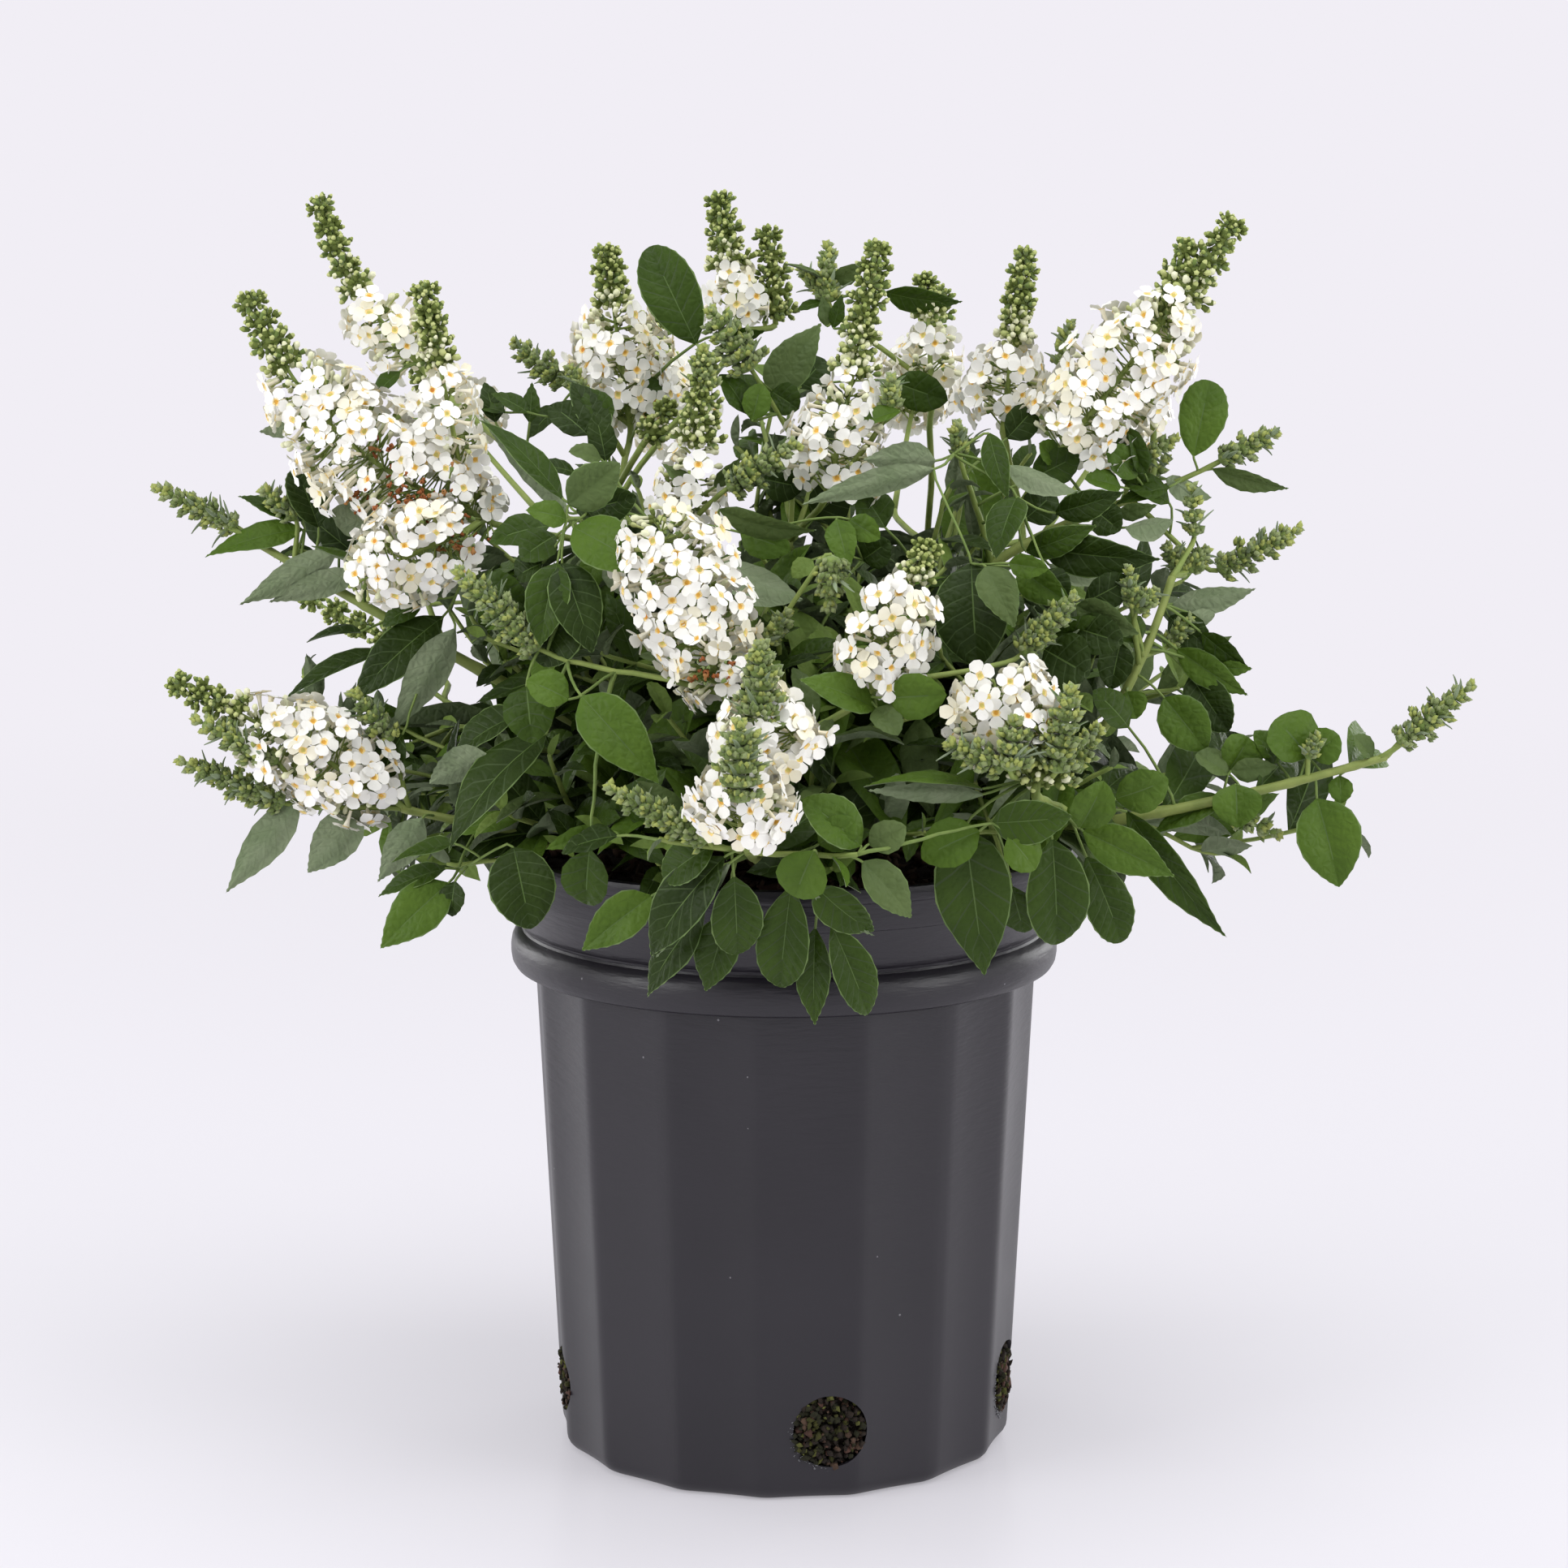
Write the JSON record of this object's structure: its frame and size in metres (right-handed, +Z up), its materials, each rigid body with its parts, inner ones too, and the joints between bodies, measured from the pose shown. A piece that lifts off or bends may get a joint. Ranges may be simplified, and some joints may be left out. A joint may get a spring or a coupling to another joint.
{
  "type": "potted butterfly bush",
  "caption": "Dwarf white butterfly bush in full flower, standing in a black fluted nursery pot with drain holes low in its wall.",
  "frame": {"origin": "middle of the pot's flat underside", "axes": "+Z up, -Y towards the bush's front, +X to the right of someone looking at its front"},
  "size_m": [0.4591, 0.3682, 0.4462],
  "materials": {
    "pot_plastic": "satin blow-moulded black plastic with fine flow wrinkles, dust specks and scuffs",
    "potting_mix": "damp bark and peat mix with moss at the drain holes",
    "stem": "green young wood with a pale felt, browner and ridged at the foot",
    "leaf": "matt deep green upper side with sunken veins",
    "leaf_underside": "silvery grey-green felt",
    "petal": "soft white petals",
    "petal_throat": "orange-yellow throat",
    "flower_tube": "cream flower tube",
    "bud": "felted green and cream buds",
    "spent_floret": "dry rust-brown spent florets",
    "moss": "olive moss at the drain holes"
  },
  "bodies": {
    "root": {"pot": "pot_plastic", "root_ball": "potting_mix", "crown_stem": "stem", "bough_front": "stem", "bough_low_left": "stem", "bough_low_right": "stem", "bough_back_low": "stem", "bough_left": "stem", "bough_right": "stem", "bough_back_left": "stem", "bough_back_right": "stem", "bough_front_middle": "stem", "bough_upper_left": "stem", "bough_upper_right": "stem", "bough_back_upper_left": "stem", "bough_back_upper_right": "stem", "bough_middle": "stem", "spike_left_tall": "petal", "spike_rear_left_tall": "petal", "spike_left_inner": "petal", "spike_low_left": "petal", "spike_upper_left": "petal", "spike_top_middle": "petal", "spike_front_middle": "petal", "spike_upper_middle": "petal", "spike_top_right": "petal", "spike_upper_right": "petal", "spike_right_tall": "petal", "spike_front_right": "petal", "spike_low_right": "petal", "spike_front_upper": "petal", "spike_front_lower": "petal", "spike_left_tip": "petal", "spike_right_tip": "petal", "spike_right_upright": "petal", "spike_back_left": "petal", "spike_back_middle": "petal", "spike_back_right": "petal", "spike_back_outer": "petal", "spike_back_low_left": "petal", "foliage_upper_middle": "leaf", "foliage_middle_front": "leaf", "foliage_skirt_front": "leaf", "foliage_upper_left": "leaf", "foliage_upper_right": "leaf", "foliage_middle_left": "leaf", "foliage_middle_right": "leaf", "foliage_outer_left": "leaf", "foliage_outer_right": "leaf", "foliage_skirt_left": "leaf", "foliage_skirt_right": "leaf", "foliage_low_left": "leaf", "foliage_low_right": "leaf", "foliage_trailing_right": "leaf", "foliage_back_upper_left": "leaf", "foliage_back_upper_right": "leaf", "foliage_back_low": "leaf", "foliage_back_left": "leaf", "foliage_back_right": "leaf"}
  },
  "joints": []
}
